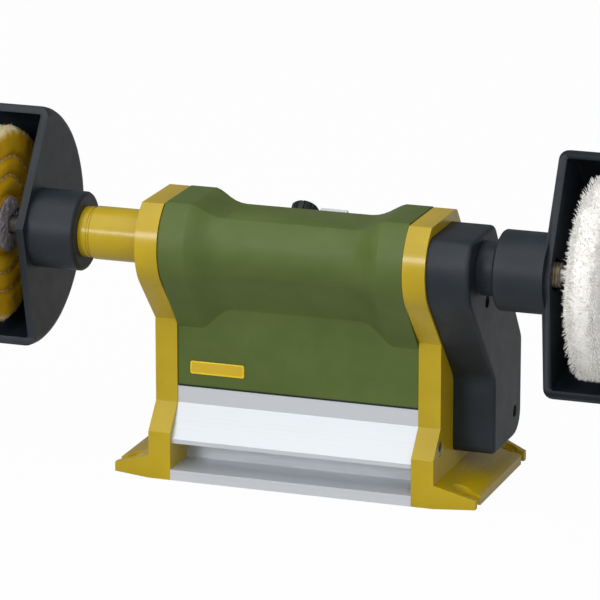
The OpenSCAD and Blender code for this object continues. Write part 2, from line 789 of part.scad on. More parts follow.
// Stitched cotton wheel: its layers stand up between the sewn rings
module cotton_wheel() {
    stitch_shares = [0.28, 0.49, 0.69];
    dip = 0.07 * cotton_t;
    r0 = leather_r;
    steps = 26;
    puff = [for (i = [0:steps]) let (r = r0 + (cotton_r - r0) * i / steps, u = r / cotton_r,
        groove = max([for (k = stitch_shares) exp(-pow((u - k) / 0.035, 2))]))
        [r, dip * groove + dip * pow(u, 8)]];
    a = wheel_at;
    b = wheel_at + cotton_t;
    color("goldenrod") outboard(-1) rotate_extrude() polygon(concat([[wheel_bore(a), a]],
        [for (p = puff) [p[0], a + p[1]]],
        [for (i = [steps:-1:0]) [puff[i][0], b - puff[i][1]]],
        [[wheel_bore(b), b]]));
}

// Leather discs pressed against both faces of a wheel of thickness t
module leather_pair(side, r, t) {
    color(leather_col) outboard(side) for (s = [wheel_at - leather_t, wheel_at + t])
        rotate_extrude() polygon([[wheel_bore(s), s], [r, s], [r, s + leather_t],
            [wheel_bore(s + leather_t), s + leather_t]]);
}

module wool_wheel() {
    round_r = 0.42 * wool_t;
    a = wheel_at;
    b = wheel_at + wool_t;
    color("ivory") outboard(1) rotate_extrude() polygon(concat([[wheel_bore(a), a]],
        arc([wool_r - round_r, a + round_r], round_r, -90, 0, 8),
        arc([wool_r - round_r, b - round_r], round_r, 0, 90, 8), [[wheel_bore(b), b]]));
}

// Motor

can_x = half_w - drive_cap_l;
can_end_x = can_x - can_l;
cap_wall = 2.4;
cap_web = 8;
rear_web = 4;

module motor_can() {
    color(steel_col) tube_x(can_end_x, can_x, motor_r, motor_r - can_wall,
        motor_back, motor_z);
}

module motor_stator() {
    stack = [can_x - 0.75 * can_l, can_x - 0.2 * can_l];
    coil = 0.07 * can_l;
    color(brass_col) union() {
        tube_x(stack[0], stack[1], can_in - slip, armature_r + pole_gap, motor_back,
            motor_z);
        tube_x(stack[0] - coil, stack[1] + coil, can_in - can_wall, armature_r
            + 2 * pole_gap, motor_back, motor_z);
    }
}

module motor_drive_cap() {
    cap_in = motor_r - cap_wall;
    color(alu_col) difference() {
        turned_x([[rotor_r + running, half_w], [rotor_r + running, half_w - cap_web],
            [cap_in, half_w - cap_web], [cap_in, can_x], [motor_r, can_x],
            [motor_r, half_w]], 0, motor_back, motor_z);
        for (p = motor_spots) rod_x(half_w - cap_web - overrun, half_w + overrun,
            motor_screw_r + running, p[0], p[1]);
    }
}

module motor_rear_cap() {
    end = can_end_x - rear_cap_l;
    cap_in = motor_r - cap_wall;
    bevel = rear_cap_l / 3;
    color(alu_col) turned_x([[rotor_r + running, end], [motor_r - bevel, end],
        [motor_r, end + bevel], [motor_r, can_end_x], [cap_in, can_end_x],
        [cap_in, end + rear_web + bevel], [cap_in - bevel, end + rear_web],
        [rotor_r + running, end + rear_web]], 0, motor_back, motor_z);
}

module motor_screws() {
    color(steel_col) for (p = motor_spots)
        screw_x(out_x, 1, pillar_t + motor_screw_bite, motor_screw_r, p);
}

module rotor_shaft() {
    color(steel_col) rod_x(can_end_x - rear_cap_l, pulley_x + pulley_w, rotor_r,
        motor_back, motor_z);
}

module armature() {
    slots = 12;
    slot_d = 0.3 * armature_r;
    stack = [can_x - 0.72 * can_l, can_x - 0.23 * can_l];
    color(steel_col) difference() {
        tube_x(stack[0], stack[1], armature_r, rotor_r + slip, motor_back, motor_z);
        for (i = [0:slots - 1]) translate([stack[0] - overrun, motor_back, motor_z])
            rotate([i * 360 / slots, 0, 0])
            translate([0, -slot_d / 4, armature_r - slot_d])
            cube([stack[1] - stack[0] + 2 * overrun, slot_d / 2, slot_d + overrun]);
    }
}

module commutator() {
    x0 = can_x - 0.93 * can_l;
    color(brass_col) tube_x(x0, x0 + 0.14 * can_l, 0.55 * armature_r, rotor_r + slip,
        motor_back, motor_z);
}

module cooling_fan() {
    x0 = can_x - 0.12 * can_l;
    plate = 1.2;
    blade_l = 0.1 * can_l;
    tip_r = 0.84 * motor_r;
    fan_hub_r = 2 * rotor_r;
    color(black_col) difference() {
        union() {
            rod_x(x0, x0 + blade_l, fan_hub_r, motor_back, motor_z);
            rod_x(x0, x0 + plate, tip_r, motor_back, motor_z);
            for (i = [0:fan_blades - 1]) translate([x0, motor_back, motor_z])
                rotate([i * 360 / fan_blades, 0, 0])
                translate([plate / 2, -plate / 2, fan_hub_r - plate])
                cube([blade_l - plate, plate, tip_r - fan_hub_r]);
        }
        rod_x(x0 - overrun, x0 + blade_l + overrun, rotor_r + slip, motor_back, motor_z);
    }
}

// Control board on the left casting

module control_board() {
    x0 = -half_w + standoff_l;
    size = board_high - board_low;
    part_l = 9;
    fins = 5;
    fin_t = 1.2;
    color(board_col) difference() {
        union() {
            translate([x0, board_low[0], board_low[1]]) cube([board_t, size[0], size[1]]);
            // Smoothing capacitor and choke
            rod_x(x0, x0 + board_t + part_l, part_l / 2, board_low[0] + 0.35 * size[0],
                board_low[1] + 0.3 * size[1]);
            rod_x(x0, x0 + board_t + part_l / 2, part_l / 2 - fin_t,
                board_low[0] + 0.68 * size[0], board_low[1] + 0.28 * size[1]);
            // Heat sink with its fins
            translate([x0, board_low[0] + 0.25 * size[0], board_low[1] + 0.6 * size[1]]) {
                cube([board_t + 2 * fin_t, 0.5 * size[0], 0.2 * size[1]]);
                for (i = [0:fins - 1])
                    translate([0, i * (0.5 * size[0] - fin_t) / (fins - 1), 0])
                        cube([board_t + part_l, fin_t, 0.2 * size[1]]);
            }
        }
        for (p = board_spots) rod_x(x0 - overrun, x0 + board_t + overrun,
            board_screw_r + running, p[0], p[1]);
    }
}

module board_screws() {
    color(steel_col) for (p = board_spots) screw_x(-half_w + standoff_l + board_t, 1,
        board_t + standoff_l + pillar_t / 4, board_screw_r, p);
}

// Controls on the rear slope

pot_r = 8;
pot_h = 8;
bush_stick = 1.5;
knob_lift = 0.5;
knob_bore_top = 0.75 * knob_h;

module potentiometer() {
    color(alu_col) on_slope(-knob_x, knob_s) difference() {
        union() {
            translate([0, 0, -cover_wall - joint_gap - pot_h]) cylinder(h = pot_h, r = pot_r);
            translate([0, 0, -cover_wall - joint_gap - slip])
                cylinder(h = cover_wall + joint_gap + bush_stick, r = bush_r);
        }
        translate([0, 0, -cover_wall - 0.75 * pot_h])
            cylinder(h = 2 * pot_h, r = knob_shaft_r + running);
    }
}

module knob_shaft() {
    color(steel_col) on_slope(-knob_x, knob_s)
        translate([0, 0, -cover_wall - 0.7 * pot_h])
        cylinder(h = knob_bore_top + cover_wall + 0.7 * pot_h - slip, r = knob_shaft_r);
}

module speed_knob() {
    flute_r = 0.11 * knob_r;
    chamfer = 0.12 * knob_r;
    skirt = 2 * bush_stick;
    color(black_col) on_slope(-knob_x, knob_s) difference() {
        rotate_extrude() polygon([[0, knob_lift], [knob_r, knob_lift],
            [knob_r, knob_h - chamfer], [knob_r - chamfer, knob_h], [0, knob_h]]);
        cylinder(h = knob_bore_top, r = knob_shaft_r + slip);
        cylinder(h = skirt, r = bush_r + joint_gap);
        for (i = [0:knob_flutes - 1]) rotate([0, 0, (i + 0.5) * 360 / knob_flutes])
            translate([knob_r, 0, skirt]) cylinder(h = knob_h, r = flute_r, $fn = 16);
        translate([-chamfer / 2, -knob_r, knob_h - chamfer / 2])
            cube([chamfer, knob_r, chamfer]);
    }
}

bezel_h = 2.2;
switch_depth = 13;
pocket_w = switch_w - 2.4 * rail_wall;
pocket_len = switch_len - 2 * rail_wall;
pocket_d = 9;
pivot_r = 1;
rocker_half = pocket_len / 2 - 2 * joint_gap;

module switch_housing() {
    color(black_col) on_slope(switch_x, switch_s) difference() {
        union() {
            translate([-switch_w / 2, -switch_len / 2, slip])
                cube([switch_w, switch_len, bezel_h]);
            translate([-switch_body_w / 2, -switch_body_len / 2, -switch_depth])
                cube([switch_body_w, switch_body_len, switch_depth + bezel_h / 2]);
        }
        translate([-pocket_w / 2, -pocket_len / 2, -pocket_d])
            cube([pocket_w, pocket_len, pocket_d + 2 * bezel_h]);
        rotate([0, 90, 0]) cylinder(h = pocket_w + 2 * pivot_r, r = pivot_r + running,
            center = true);
    }
}

module switch_terminals() {
    blade = [0.8, 4.8, 6];
    color(brass_col) on_slope(switch_x, switch_s) for (s = [-1, 0, 1])
        translate([-blade[0] / 2, s * switch_body_len / 3 - blade[1] / 2,
            -switch_depth - blade[2]]) cube(blade);
}

module power_rocker() {
    half = rocker_half;
    body_w = pocket_w - 2 * joint_gap;
    color(black_col) on_slope(switch_x, switch_s) rotate([-rocker_tilt, 0, 0]) union() {
        translate([-body_w / 2, 0, 0]) rotate([90, 0, 90]) linear_extrude(body_w)
            polygon([[-half, 1.2 * bezel_h], [-half, -bezel_h / 4], [-half / 3, -half / 2],
                [half / 3, -half / 2], [half, -bezel_h / 4], [half, 1.2 * bezel_h],
                [0, 0.7 * bezel_h]]);
        rotate([0, 90, 0]) cylinder(h = pocket_w + 1.6 * pivot_r, r = pivot_r, center = true);
    }
}

module cord_gland() {
    flange_h = 3;
    flange_r = 1.4 * gland_r;
    tail_h = 1.3 * gland_r;
    color(black_col) translate([gland_x, cover_back, gland_z]) rotate([-90, 0, 0])
        difference() {
            union() {
                translate([0, 0, slip]) cylinder(h = flange_h, r = flange_r);
                cylinder(h = tail_h, r1 = gland_r, r2 = 0.85 * gland_r);
                translate([0, 0, -cover_wall - flange_h]) cylinder(h = cover_wall + flange_h
                    + overrun, r = gland_r);
                translate([0, 0, -cover_wall - flange_h - joint_gap])
                    cylinder(h = flange_h, r = flange_r, $fn = 6);
            }
            translate([0, 0, -cover_wall - 2 * flange_h])
                cylinder(h = tail_h + cover_wall + 3 * flange_h, r = gland_bore_r);
        }
}

// Wheel guards: drawn from the side panel outwards, back towards +Y

nut_gap = 1.8;
guard_hole_r = nut_r + nut_gap;
hub_web = 3;
grub_r = 2;

module guard_solid(d) {
    e = guard_edge - d;
    rotate([0, 90, 0]) rotate_extrude($fn = 96) polygon(concat([[0, d]],
        arc([guard_r - d - e, d + e], e, -90, 0, 5),
        arc([guard_r - d - e, guard_w - d - e], e, 0, 90, 5), [[0, guard_w - d]]));
}

module guard_shell(wall, peak) {
    front_r = guard_r - guard_edge;
    difference() {
        union() {
            difference() {
                guard_solid(0);
                translate([-overrun, -2 * guard_r, -guard_r - overrun])
                    cube([guard_w + 2 * overrun, 2 * guard_r, 2 * guard_r + 2 * overrun]);
            }
            for (x = [0, guard_w - wall]) translate([x, 0, 0]) rotate([90, 0, 90])
                linear_extrude(wall) polygon([[overrun, -front_r], [overrun, front_r],
                    [0, front_r], [-peak, 0], [0, -front_r]]);
        }
        guard_solid(wall);
    }
}

module guard(side, peak) {
    rim_zone = [[0, guard_r], [-peak, 0], [0, -guard_r], [rim_w, -guard_r],
        [rim_w - peak, 0], [rim_w, guard_r]];
    hub_soft = 0.08 * hub_r;
    color(black_col) translate([side > 0 ? right_panel_x : left_panel_x, 0, axis_h])
        rotate([-guard_tilt, 0, 0]) mirror([side > 0 ? 0 : 1, 0, 0]) difference() {
            union() {
                guard_shell(guard_wall, peak);
                intersection() {
                    guard_shell(rim_w, peak);
                    along_x(-overrun, guard_w + overrun) polygon(rim_zone);
                }
                rotate([0, 90, 0]) rotate_extrude() polygon([[0, -hub_l],
                    [hub_r - 1.15 * hub_soft, -hub_l],
                    [hub_r - 0.3 * hub_soft, -hub_l + 0.45 * hub_soft],
                    [hub_r, -hub_l + 0.95 * hub_soft], [hub_r, guard_wall / 2],
                    [0, guard_wall / 2]]);
            }
            rod_x(-hub_l - overrun, -hub_web, stub_r + running, 0, 0);
            rod_x(-hub_l, guard_wall + overrun, guard_hole_r, 0, 0);
            translate([-hub_l / 2, 0, 0]) rotate([-90, 0, 0])
                cylinder(h = hub_r + overrun, r = grub_r + running);
        }
}

module guard_screw(side) {
    tip = stub_r + 2 * running;
    color(steel_col) translate([side > 0 ? right_panel_x : left_panel_x, 0, axis_h])
        rotate([-guard_tilt, 0, 0]) mirror([side > 0 ? 0 : 1, 0, 0])
        translate([-hub_l / 2, 0, 0]) rotate([-90, 0, 0]) difference() {
            translate([0, 0, tip]) cylinder(h = hub_r - tip, r = grub_r);
            translate([0, 0, hub_r - grub_r]) cylinder(h = 2 * grub_r, r = grub_r / 2, $fn = 6);
        }
}

tray_extrusion();
left_pillar();
right_pillar();
body_cover();
belt_cover();
belt_cover_screws();
left_pillar_screws();
right_pillar_screws();
motor_can();
motor_stator();
motor_drive_cap();
motor_rear_cap();
motor_screws();
drive_belt();
control_board();
board_screws();
potentiometer();
switch_housing();
switch_terminals();
cord_gland();
outer_ring(left_bearing_x);  // left_bearing_outer_ring
outer_ring(right_bearing_x);  // right_bearing_outer_ring
retaining_ring(left_stub_x + seat_lip);  // left_retaining_ring
retaining_ring(right_stub_x - seat_lip - ring_t);  // right_retaining_ring
spindle_shaft();
inner_ring(left_bearing_x);  // left_bearing_inner_ring
inner_ring(right_bearing_x);  // right_bearing_inner_ring
balls(left_bearing_x);  // left_bearing_balls
balls(right_bearing_x);  // right_bearing_balls
spindle_pulley();
taper_spindle(-1);  // left_taper_spindle
taper_spindle(1);  // right_taper_spindle
lock_nut(-1);  // left_lock_nut
lock_nut(1);  // right_lock_nut
cotton_wheel();
leather_pair(-1, leather_r, cotton_t);  // cotton_wheel_leather
wool_wheel();
leather_pair(1, leather_r, wool_t);  // wool_wheel_leather
rotor_shaft();
armature();
commutator();
cooling_fan();
motor_pulley();
guard(-1, left_peak);  // left_guard
guard_screw(-1);  // left_guard_screw
guard(1, right_peak);  // right_guard
guard_screw(1);  // right_guard_screw
speed_knob();
knob_shaft();
power_rocker();
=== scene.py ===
# %% [markdown]
# # A bench polishing lathe, dressed around its CAD frame
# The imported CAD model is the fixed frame: it says where each piece is and how it
# moves. This lesson gives the frame its looks, and makes anew only what plain CAD
# solids can't show: cloth, wool, stitches, creased leather and soft edges. Every
# length is in metres, with X along the spindle, the front towards -Y and the bench
# at Z = 0.

# %% Load the frame
import json
import math
import random

import bmesh
import bpy
from mathutils import Matrix, Vector, noise


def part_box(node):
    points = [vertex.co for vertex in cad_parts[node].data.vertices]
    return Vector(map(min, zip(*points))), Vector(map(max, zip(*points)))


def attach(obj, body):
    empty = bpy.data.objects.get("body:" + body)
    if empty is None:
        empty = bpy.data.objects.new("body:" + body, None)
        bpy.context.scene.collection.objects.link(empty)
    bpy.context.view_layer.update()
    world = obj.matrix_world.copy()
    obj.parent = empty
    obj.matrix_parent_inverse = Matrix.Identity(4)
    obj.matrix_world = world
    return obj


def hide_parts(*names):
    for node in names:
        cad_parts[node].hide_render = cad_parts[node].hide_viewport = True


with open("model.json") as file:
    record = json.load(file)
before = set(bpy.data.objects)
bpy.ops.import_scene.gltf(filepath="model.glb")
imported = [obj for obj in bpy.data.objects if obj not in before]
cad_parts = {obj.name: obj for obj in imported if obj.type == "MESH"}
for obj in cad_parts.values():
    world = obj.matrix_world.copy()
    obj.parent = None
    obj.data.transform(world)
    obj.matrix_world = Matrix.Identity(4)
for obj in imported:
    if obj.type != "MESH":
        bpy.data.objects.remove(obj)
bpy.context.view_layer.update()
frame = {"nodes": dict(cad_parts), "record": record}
MM = 0.001
SPINDLE_Z = 0.1215

# %% [markdown]
# ## Camera
# The photograph was taken with a long lens, a little from the right and a little
# from above. A near camera with a short lens could fill the frame as well, but it
# would draw the near hood much larger than the far one. A long lens from over two
# metres keeps both hoods nearly the same size.

# %% Camera
LENS_MM, SENSOR_MM = 266.28, 36
CAMERA_PLACE = (0.69911, -1.97322, 0.68761)
LOOKING = Vector((-0.32061, 0.90738, -0.27178))
lens = bpy.data.cameras.new("long_lens")
lens.lens = LENS_MM
lens.sensor_width = SENSOR_MM
camera = bpy.data.objects.new("camera", lens)
camera.location = CAMERA_PLACE
camera.rotation_euler = LOOKING.to_track_quat("-Z", "Y").to_euler()
bpy.context.scene.collection.objects.link(camera)
bpy.context.scene.camera = camera
bpy.context.scene.view_settings.view_transform = "Standard"
print("camera at", CAMERA_PLACE, "with a lens of", LENS_MM, "mm")

# %% [markdown]
# ## Colours
# Colours are picked as they look on a screen. Blender's shaders work with linear
# values, so each screen colour is turned into one. Typing linear values by hand
# would do too, but nobody can read them.


# %% Colour helper
def linear(code):
    """The linear colour of a six-digit screen colour"""
    parts = [int(code[i:i + 2], 16) / 255 for i in (0, 2, 4)]
    line = [c / 12.92 if c <= 0.04045 else ((c + 0.055) / 1.055) ** 2.4 for c in parts]
    return (*line, 1.0)


print("casting yellow is", [round(c, 3) for c in linear("b39806")])

# %% [markdown]
# ## A helper for finishes
# Each finish is a Principled shader fed by noise in Object coordinates. Painted
# images would need an unwrapped mesh, and the CAD meshes have none, while noise
# needs only the place of a point. The helper keeps the node wiring short, so that
# each finish below reads as a recipe. A noise of scale 50 has patches of 20 mm.


# %% Finish helper
class Finish:
    """A Principled shader whose colour, gloss and bump follow noise"""

    def __init__(self, name, roughness=0.5, metallic=0.0, **sockets):
        self.material = bpy.data.materials.new(name)
        self.material.use_nodes = True
        self.tree = self.material.node_tree
        self.shader = self.tree.nodes["Principled BSDF"]
        self.shader.inputs["Roughness"].default_value = roughness
        self.shader.inputs["Metallic"].default_value = metallic
        for socket, value in sockets.items():
            self.shader.inputs[socket.replace("_", " ")].default_value = value
        self.place = self.node("ShaderNodeTexCoord").outputs["Object"]

    def node(self, kind, **settings):
        made = self.tree.nodes.new(kind)
        for key, value in settings.items():
            setattr(made, key, value)
        return made

    def math(self, what, a, b=None):
        made = self.node("ShaderNodeMath", operation=what)
        for socket, value in zip(made.inputs, (a, b)):
            if value is None:
                continue
            if isinstance(value, (int, float)):
                socket.default_value = value
            else:
                self.tree.links.new(value, socket)
        return made.outputs[0]

    def split(self):
        """The three coordinates of a point"""
        parts = self.node("ShaderNodeSeparateXYZ")
        self.tree.links.new(self.place, parts.inputs[0])
        return parts.outputs

    def stretched(self, scale, centre=(0, 0, 0), source=None):
        """Coordinates in which noise is drawn out along the axes of a small scale"""
        made = self.node("ShaderNodeMapping")
        made.inputs["Scale"].default_value = scale
        made.inputs["Location"].default_value = [-c * s for c, s in zip(centre, scale)]
        self.tree.links.new(source or self.place, made.inputs["Vector"])
        return made.outputs["Vector"]

    def noise(self, scale, detail=3.0, source=None):
        made = self.node("ShaderNodeTexNoise")
        made.inputs["Scale"].default_value = scale
        made.inputs["Detail"].default_value = detail
        self.tree.links.new(source or self.place, made.inputs["Vector"])
        return made.outputs["Fac"]

    def polar(self):
        """Radius, angle and place along the spindle as one vector, and the radius"""
        parts = self.split()
        up = self.math("SUBTRACT", parts["Z"], SPINDLE_Z)
        radius = self.math("SQRT", self.math("ADD", self.math("MULTIPLY", up, up),
            self.math("MULTIPLY", parts["Y"], parts["Y"])))
        angle = self.math("ARCTAN2", parts["Y"], up)
        made = self.node("ShaderNodeCombineXYZ")
        for socket, value in zip(made.inputs, (radius, angle, parts["X"])):
            self.tree.links.new(value, socket)
        return made.outputs[0], radius

    def ramp(self, factor, *stops):
        made = self.node("ShaderNodeValToRGB")
        while len(made.color_ramp.elements) < len(stops):
            made.color_ramp.elements.new(0.5)
        for element, (place, code) in zip(made.color_ramp.elements, stops):
            element.position = place
            element.color = linear(code)
        self.tree.links.new(factor, made.inputs["Fac"])
        return made.outputs["Color"]

    def colour(self, output):
        self.tree.links.new(output, self.shader.inputs["Base Color"])

    def mixed(self, factor, a, b):
        made = self.node("ShaderNodeMix", data_type="RGBA")
        self.tree.links.new(factor, made.inputs["Factor"])
        self.tree.links.new(a, made.inputs["A"])
        self.tree.links.new(b, made.inputs["B"])
        return made.outputs["Result"]

    def shine(self, factor, low, high):
        """Let the roughness wander between two values"""
        made = self.node("ShaderNodeMapRange")
        made.inputs["To Min"].default_value = low
        made.inputs["To Max"].default_value = high
        self.tree.links.new(factor, made.inputs["Value"])
        self.tree.links.new(made.outputs["Result"], self.shader.inputs["Roughness"])

    def bump(self, *layers):
        """Layers of (height output, depth in metres), stacked"""
        last = None
        for height, depth in layers:
            made = self.node("ShaderNodeBump")
            made.inputs["Strength"].default_value = 1.0
            made.inputs["Distance"].default_value = depth
            self.tree.links.new(height, made.inputs["Height"])
            if last:
                self.tree.links.new(last, made.inputs["Normal"])
            last = made.outputs["Normal"]
        self.tree.links.new(last, self.shader.inputs["Normal"])


# %% [markdown]
# ## Paints and mouldings
# The castings are die cast and painted: smooth, a little orange-peel, with a thin
# clear layer on top. The mouldings have the fine grain of a spark-eroded tool and
# no such layer. One flat colour each could do, but a slight wander of colour and
# gloss is what tells paint and plastic from a plain computer surface.

# %% Painted castings and plastic mouldings
ORANGE_PEEL, TOOL_GRAIN = 620, 1900


def painted(name, dark, light, roughness=0.32):
    f = Finish(name, roughness, Specular_IOR_Level=0.35, Coat_Weight=0.2, Coat_Roughness=0.15)
    f.colour(f.ramp(f.noise(38), (0.35, dark), (0.7, light)))
    f.shine(f.noise(60), roughness - 0.05, roughness + 0.09)
    f.bump((f.noise(ORANGE_PEEL, 2), 0.00003), (f.noise(90, 2), 0.00005))
    return f.material


def moulded(name, dark, light, roughness, gloss=0.5):
    f = Finish(name, roughness, Specular_IOR_Level=gloss)
    f.colour(f.ramp(f.noise(55), (0.3, dark), (0.75, light)))
    f.shine(f.noise(130), roughness - 0.06, roughness + 0.08)
    f.bump((f.noise(TOOL_GRAIN, 2), 0.00005), (f.noise(70, 2), 0.00004))
    return f.material


yellow_paint = painted("yellow_paint", "b39806", "bda20c")
motor_grey = painted("motor_paint", "54575a", "5f6265", 0.4)
circuit_green = painted("circuit_board", "12512c", "1c6338", 0.35)
green_grain = moulded("green_grain", "4e6027", "576830", 0.5, gloss=0.32)
black_grain = moulded("black_grain", "1d2329", "252c33", 0.47, gloss=0.3)
knob_black = moulded("knob_black", "121417", "191c1f", 0.42, gloss=0.35)
switch_grey = moulded("switch_grey", "b9bcba", "c6c9c7", 0.35)
belt_black = moulded("belt_rubber", "141516", "1d1e20", 0.7)
print("paints and plastics", len(bpy.data.materials))

# %% [markdown]
# ## Metals
# Extruded aluminium carries fine lines along its length, and turned steel has them
# round its axis. A brushed look can come from an anisotropic shader too, but that
# needs tangents. Noise that is stretched along X, or squeezed along it, draws the
# same lines on any mesh. The extrusion is anodised and so only part metal.

# %% Metals
ALONG_X = (3, 900, 900)
ROUND_X = (2600, 60, 60)
ROUND_X_SOFT = (900, 6, 6)
ALONG_WIRE = (40, 2000, 2000)
GRAINY = (500, 500, 500)


def metal(name, dark, light, roughness, stretch, share=1.0, depth=0.00002, wander=0.08):
    f = Finish(name, roughness, share)
    lines = f.noise(1.0, 4, f.stretched(stretch, (0, 0, SPINDLE_Z)))
    f.colour(f.ramp(lines, (0.3, dark), (0.7, light)))
    f.shine(lines, roughness - wander, roughness + wander)
    f.bump((lines, depth))
    return f.material


extruded = metal("extruded_aluminium", "cbcfd4", "cfd3d8", 0.45, ALONG_X, share=0.45,
    depth=0.000003, wander=0.02)
turned_aluminium = metal("turned_aluminium", "c3c6c9", "dcdee0", 0.35, ROUND_X_SOFT)
turned_steel = metal("turned_steel", "a8a6a3", "d0cec9", 0.33, ROUND_X)
brassy_steel = metal("brassy_steel", "c4b89e", "e6ddc6", 0.3, ROUND_X)
zinc = metal("zinc_plating", "8d8e8c", "b3b2ab", 0.35, GRAINY)
copper = metal("copper_winding", "8c4b22", "b86a35", 0.4, ALONG_WIRE)
print("with metals", len(bpy.data.materials))

# %% [markdown]
# ## Finishes of the CAD pieces
# Every CAD node comes with one material slot, named in the record. A table from
# slot to finish dresses all nodes in one loop, and so no node is forgotten, which
# can happen when each one is dressed by hand. Only the knob departs from the table:
# it is a darker plastic than the hoods.

# %% Carried-over CAD nodes get their finish
NODE_FINISH = {
    "tray_aluminium": extruded, "yellow_casting": yellow_paint,
    "green_moulding": green_grain, "black_moulding": black_grain,
    "switch_plastic": switch_grey, "motor_metal": motor_grey, "winding": copper,
    "belt_rubber": belt_black, "circuit_board": circuit_green,
    "turned_steel": turned_steel, "screw_steel": zinc, "pulley_aluminium": turned_aluminium,
    "brassy_steel": brassy_steel, "yellow_cotton": yellow_paint,
    "white_wool": switch_grey, "grey_leather": motor_grey,
}
SLOT_OF = {part["node"]: part["material_slot"] for part in frame["record"]["subparts"]}
for node_name, node in frame["nodes"].items():
    for slot in node.material_slots:
        slot.material = NODE_FINISH[SLOT_OF[node_name]]
frame["nodes"]["speed_knob"].material_slots[0].material = knob_black
print("finished nodes", len(SLOT_OF))

# %% [markdown]
# ## Flat ends
# The green cover and the belt cover seat against the castings with flat ends, and
# these come in with folded triangles. They could be hidden, as they are hardly seen,
# but a fold spoils the bevel and the shading next to it. So a copy's flat end is
# cut away, and the ring of open edges that stays is filled afresh.

# %% Filling a flat end
ON_THE_END = 1e-5


def refilled(bm, x):
    """Fill a copy's flat end at x afresh, with one layer of triangles"""
    def at_end(verts):
        return all(abs(v.co.x - x) < ON_THE_END for v in verts)
    flat = [face for face in bm.faces if at_end(face.verts)]
    bmesh.ops.delete(bm, geom=flat, context="FACES")
    rim = [edge for edge in bm.edges if edge.is_boundary and at_end(edge.verts)]
    bmesh.ops.triangle_fill(bm, use_beauty=True, use_dissolve=False, edges=rim)
    print("filled the end at", round(x / MM, 1), "mm inside", len(rim), "edges")


# %% [markdown]
# ## True shading
# A turned face that is cut by a hole or a hood comes in as uneven triangles, and its
# gloss would show them as flutes. More triangles would shrink the flutes but not
# remove them. Instead the shading of such a face is set from the true surface:
# straight out from the spindle, or straight along X on a flat side.

# %% True shading
SAME_RADIUS = 2e-5
STRAIGHT_OUT, STRAIGHT_ALONG = 0.99, 0.9999


def trued(made):
    """Bake the modifiers, and shade turned and flat faces as the true surfaces"""
    seen = made.evaluated_get(bpy.context.evaluated_depsgraph_get())
    mesh = bpy.data.meshes.new_from_object(seen)
    shading = [corner.vector.copy() for corner in mesh.corner_normals]
    for face in mesh.polygons:
        spots = [mesh.vertices[mesh.loops[i].vertex_index].co for i in face.loop_indices]
        rays = [Vector((0, spot.y, spot.z - SPINDLE_Z)) for spot in spots]
        lengths = [ray.length for ray in rays]
        out = face.normal.dot(sum(rays, Vector()).normalized())
        turned_face = max(lengths) - min(lengths) < SAME_RADIUS and abs(out) > STRAIGHT_OUT
        for i, ray in zip(face.loop_indices, rays):
            if abs(face.normal.x) > STRAIGHT_ALONG:
                shading[i] = face.normal.copy()
            elif turned_face:
                shading[i] = ray.normalized() * (1 if out > 0 else -1)
    mesh.normals_split_custom_set(shading)
    made.modifiers.clear()
    made.data = mesh


# %% [markdown]
# ## Soft edges
# A casting or moulding has no sharp edge: each one is rounded by a few tenths of a
# millimetre and catches a thin line of light. The rounding could be in the CAD, but
# there it would cost a great many faces. Here a copy of the CAD mesh is merged, the
# triangles on its flat faces are dissolved, its marked edges are bevelled, and the
# copy stands for the CAD node.

# %% Softened copies
MERGE_GAP = 2e-6
FLAT_DEGREES = 0.3
EDGE_STEPS = 3


def by_angle(degrees):
    """A test for edges that turn by more than some degrees"""
    return lambda edge: edge.calc_face_angle(0) > math.radians(degrees)


def softened(node_name, piece_name, finish, width, soft=by_angle(28), ends=(), body="housing"):
    """A copy of a CAD node with its soft edges rounded, which stands for the node"""
    mesh = frame["nodes"][node_name].data.copy()
    mesh.name = piece_name
    bm = bmesh.new()
    bm.from_mesh(mesh)
    bmesh.ops.remove_doubles(bm, verts=bm.verts, dist=MERGE_GAP)
    for x in ends:
        refilled(bm, x)
    bmesh.ops.recalc_face_normals(bm, faces=bm.faces)
    bmesh.ops.dissolve_limit(bm, angle_limit=math.radians(FLAT_DEGREES),
        use_dissolve_boundaries=False, verts=bm.verts, edges=bm.edges)
    weight = bm.edges.layers.float.new("bevel_weight_edge")
    for edge in bm.edges:
        edge[weight] = 1.0 if soft(edge) else 0.0
    for face in bm.faces:
        face.smooth = True
    bm.to_mesh(mesh)
    bm.free()
    made = bpy.data.objects.new(piece_name, mesh)
    bpy.context.scene.collection.objects.link(made)
    mesh.materials.clear()
    mesh.materials.append(finish)
    bevel = made.modifiers.new("soft_edges", "BEVEL")
    bevel.width = width
    bevel.segments = EDGE_STEPS
    bevel.limit_method = "WEIGHT"
    bevel.harden_normals = True
    bevel.material = -1
    trued(made)
    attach(made, body)
    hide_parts(node_name)
    print(piece_name, len(made.data.polygons), "faces")


# %% [markdown]
# ## Which edges of the green cover are soft
# The cover flares from its waist to a collar at each end. An angle alone can't sort
# its edges: the flare is made of stations, whose cross edges turn about as much as
# the real crease does. So the place of an edge decides as well. None of the flare's
# cross edges is bevelled, but where the flare starts at the collar there is a crisp
# crease, which catches the light.

# %% The cover's edges
COLLAR_X, WAIST_X = 49.5, 31.0
CREASE_DEGREES, CORNER_DEGREES = 7, 24
AT_COLLAR, LEVEL = 0.1, 0.01


def cover_edge(edge):
    """The cover's own creases: its corners along X, its rims and the collar's crease"""
    angle = math.degrees(edge.calc_face_angle(0))
    a, b = (abs(v.co.x) / MM for v in edge.verts)
    if abs(a - b) < LEVEL and WAIST_X < a < COLLAR_X + AT_COLLAR:
        return a > COLLAR_X - AT_COLLAR and angle > CREASE_DEGREES
    return angle > CORNER_DEGREES


